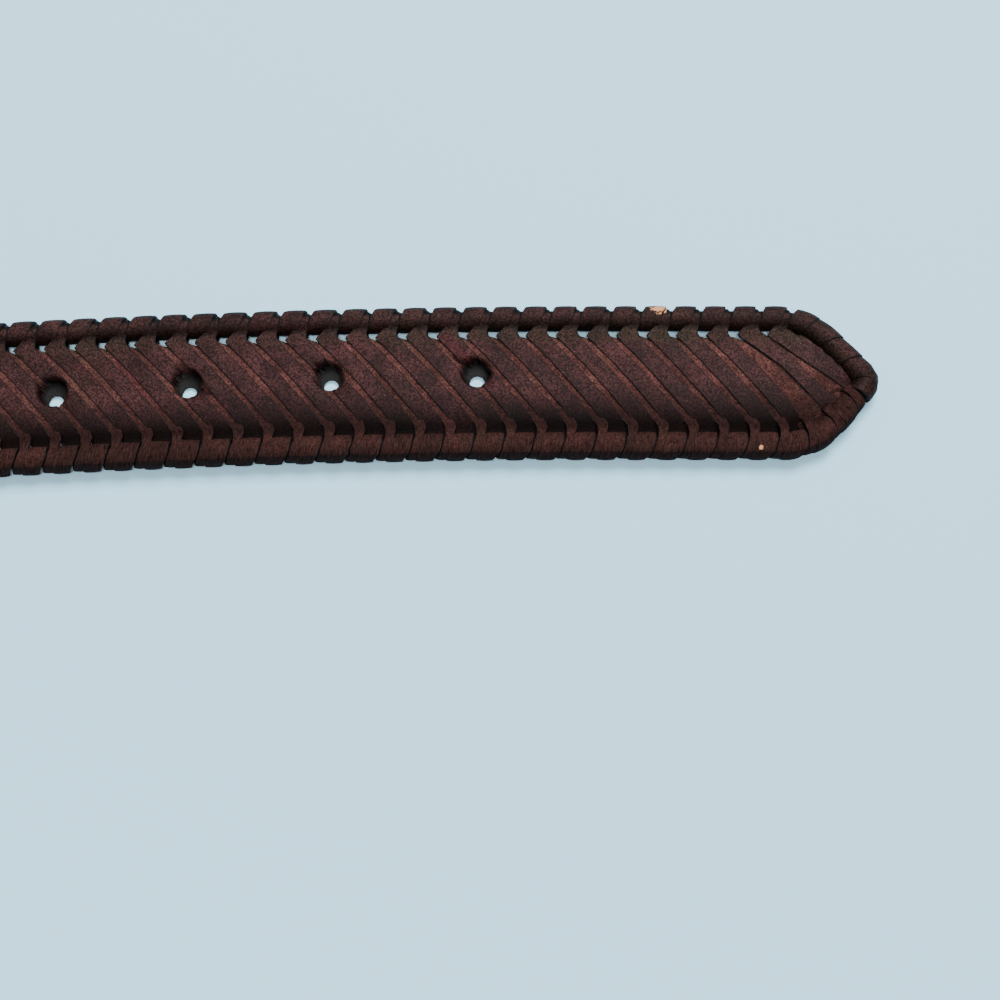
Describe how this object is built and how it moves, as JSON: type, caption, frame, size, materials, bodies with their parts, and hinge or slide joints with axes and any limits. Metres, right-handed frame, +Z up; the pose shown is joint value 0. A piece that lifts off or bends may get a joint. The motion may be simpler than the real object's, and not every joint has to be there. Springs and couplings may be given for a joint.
{
  "type": "braided leather belt",
  "caption": "Flat leather belt laced between two wrapped edge cords, with slanting strips, punched holes, a pointed tip, a folded leather end and a plain pronged buckle.",
  "frame": {"origin": "on the surface that the belt lies on, under the middle of its bounding box", "axes": "+X along the belt from the buckle to the holed tip, +Y across it, +Z up out of its right side"},
  "size_m": [0.91, 0.0374, 0.006],
  "materials": {
    "rim_lace": "matte dark reddish brown with black cut edges",
    "panel_lace": "matte dark reddish brown, waxed and a little worn",
    "chape_leather": "matte dark reddish brown with darkened edges",
    "buckle_metal": "plain satin"
  },
  "bodies": {
    "root": {"rim_cord": "rim_lace", "woven_panel": "panel_lace", "chape": "chape_leather", "buckle": "buckle_metal"}
  },
  "joints": []
}
